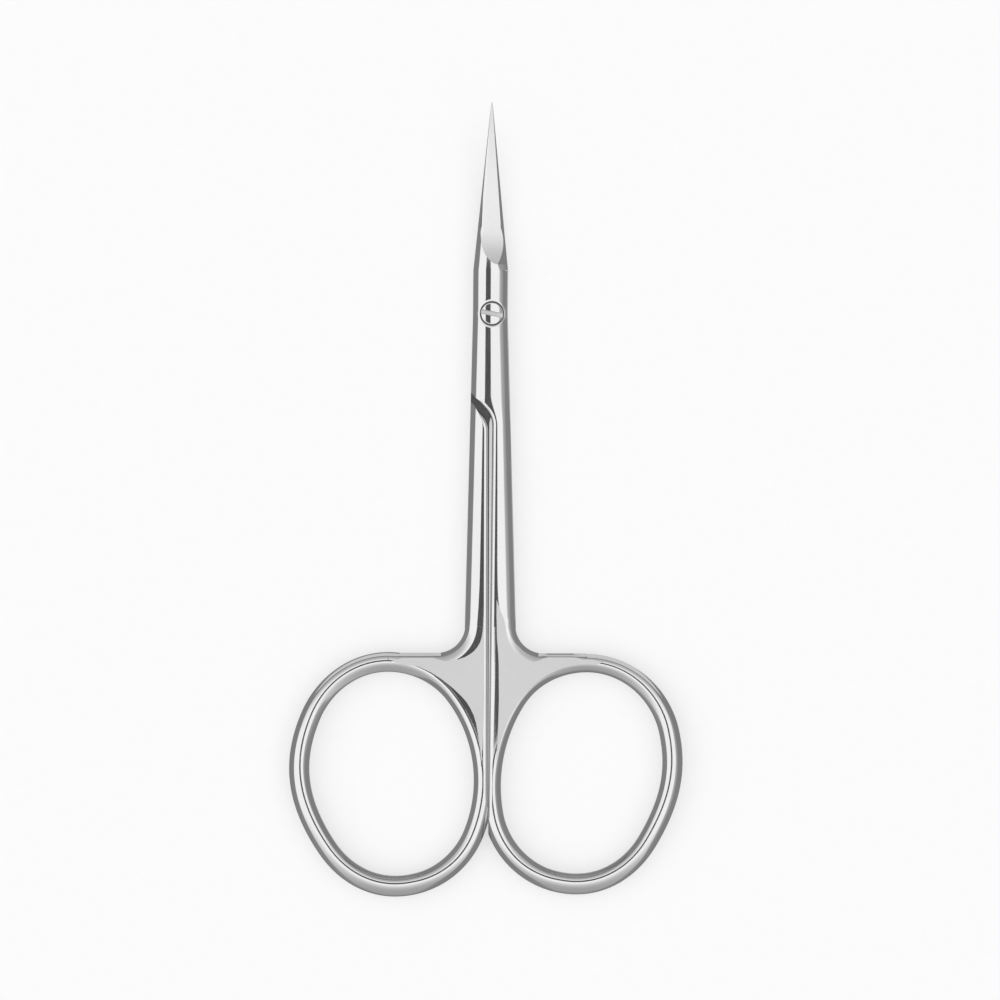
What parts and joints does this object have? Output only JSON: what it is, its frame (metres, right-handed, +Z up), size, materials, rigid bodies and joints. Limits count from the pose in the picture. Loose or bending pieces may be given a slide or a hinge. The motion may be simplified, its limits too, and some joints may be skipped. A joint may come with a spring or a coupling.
{
  "type": "cuticle scissors",
  "caption": "Slim manicure scissors with upward-curved tapering blades, a slotted screw pivot, rounded shanks and oval finger rings on flat webs; they open about the screw to trim cuticles.",
  "frame": {"origin": "middle of the bounding box of the closed scissors, on the surface they lie on", "axes": "+Y along the closed scissors from the finger rings to the tips, +Z up from the surface, towards the side that shows the screw's slot and to which the blades curve; the front half's ring is on the +X side"},
  "size_m": [0.0472, 0.095, 0.0047],
  "materials": {
    "front_steel": "polished stainless steel, with a satin web and a satin ground blade facet",
    "back_steel": "polished stainless steel, with a satin web and a satin ground blade facet",
    "screw_steel": "polished stainless steel, ground flush with the crown of the bar"
  },
  "bodies": {
    "back": {"back_half": "back_steel", "pivot_screw": "screw_steel"},
    "front": {"front_half": "front_steel"}
  },
  "joints": [
    {"name": "blade_pivot", "type": "hinge", "parent": "back", "child": "front", "pos_m": [0.00073, 0.02232, 0.0015], "axis": [0, 0, 1], "range_deg": [0, 60]}
  ]
}
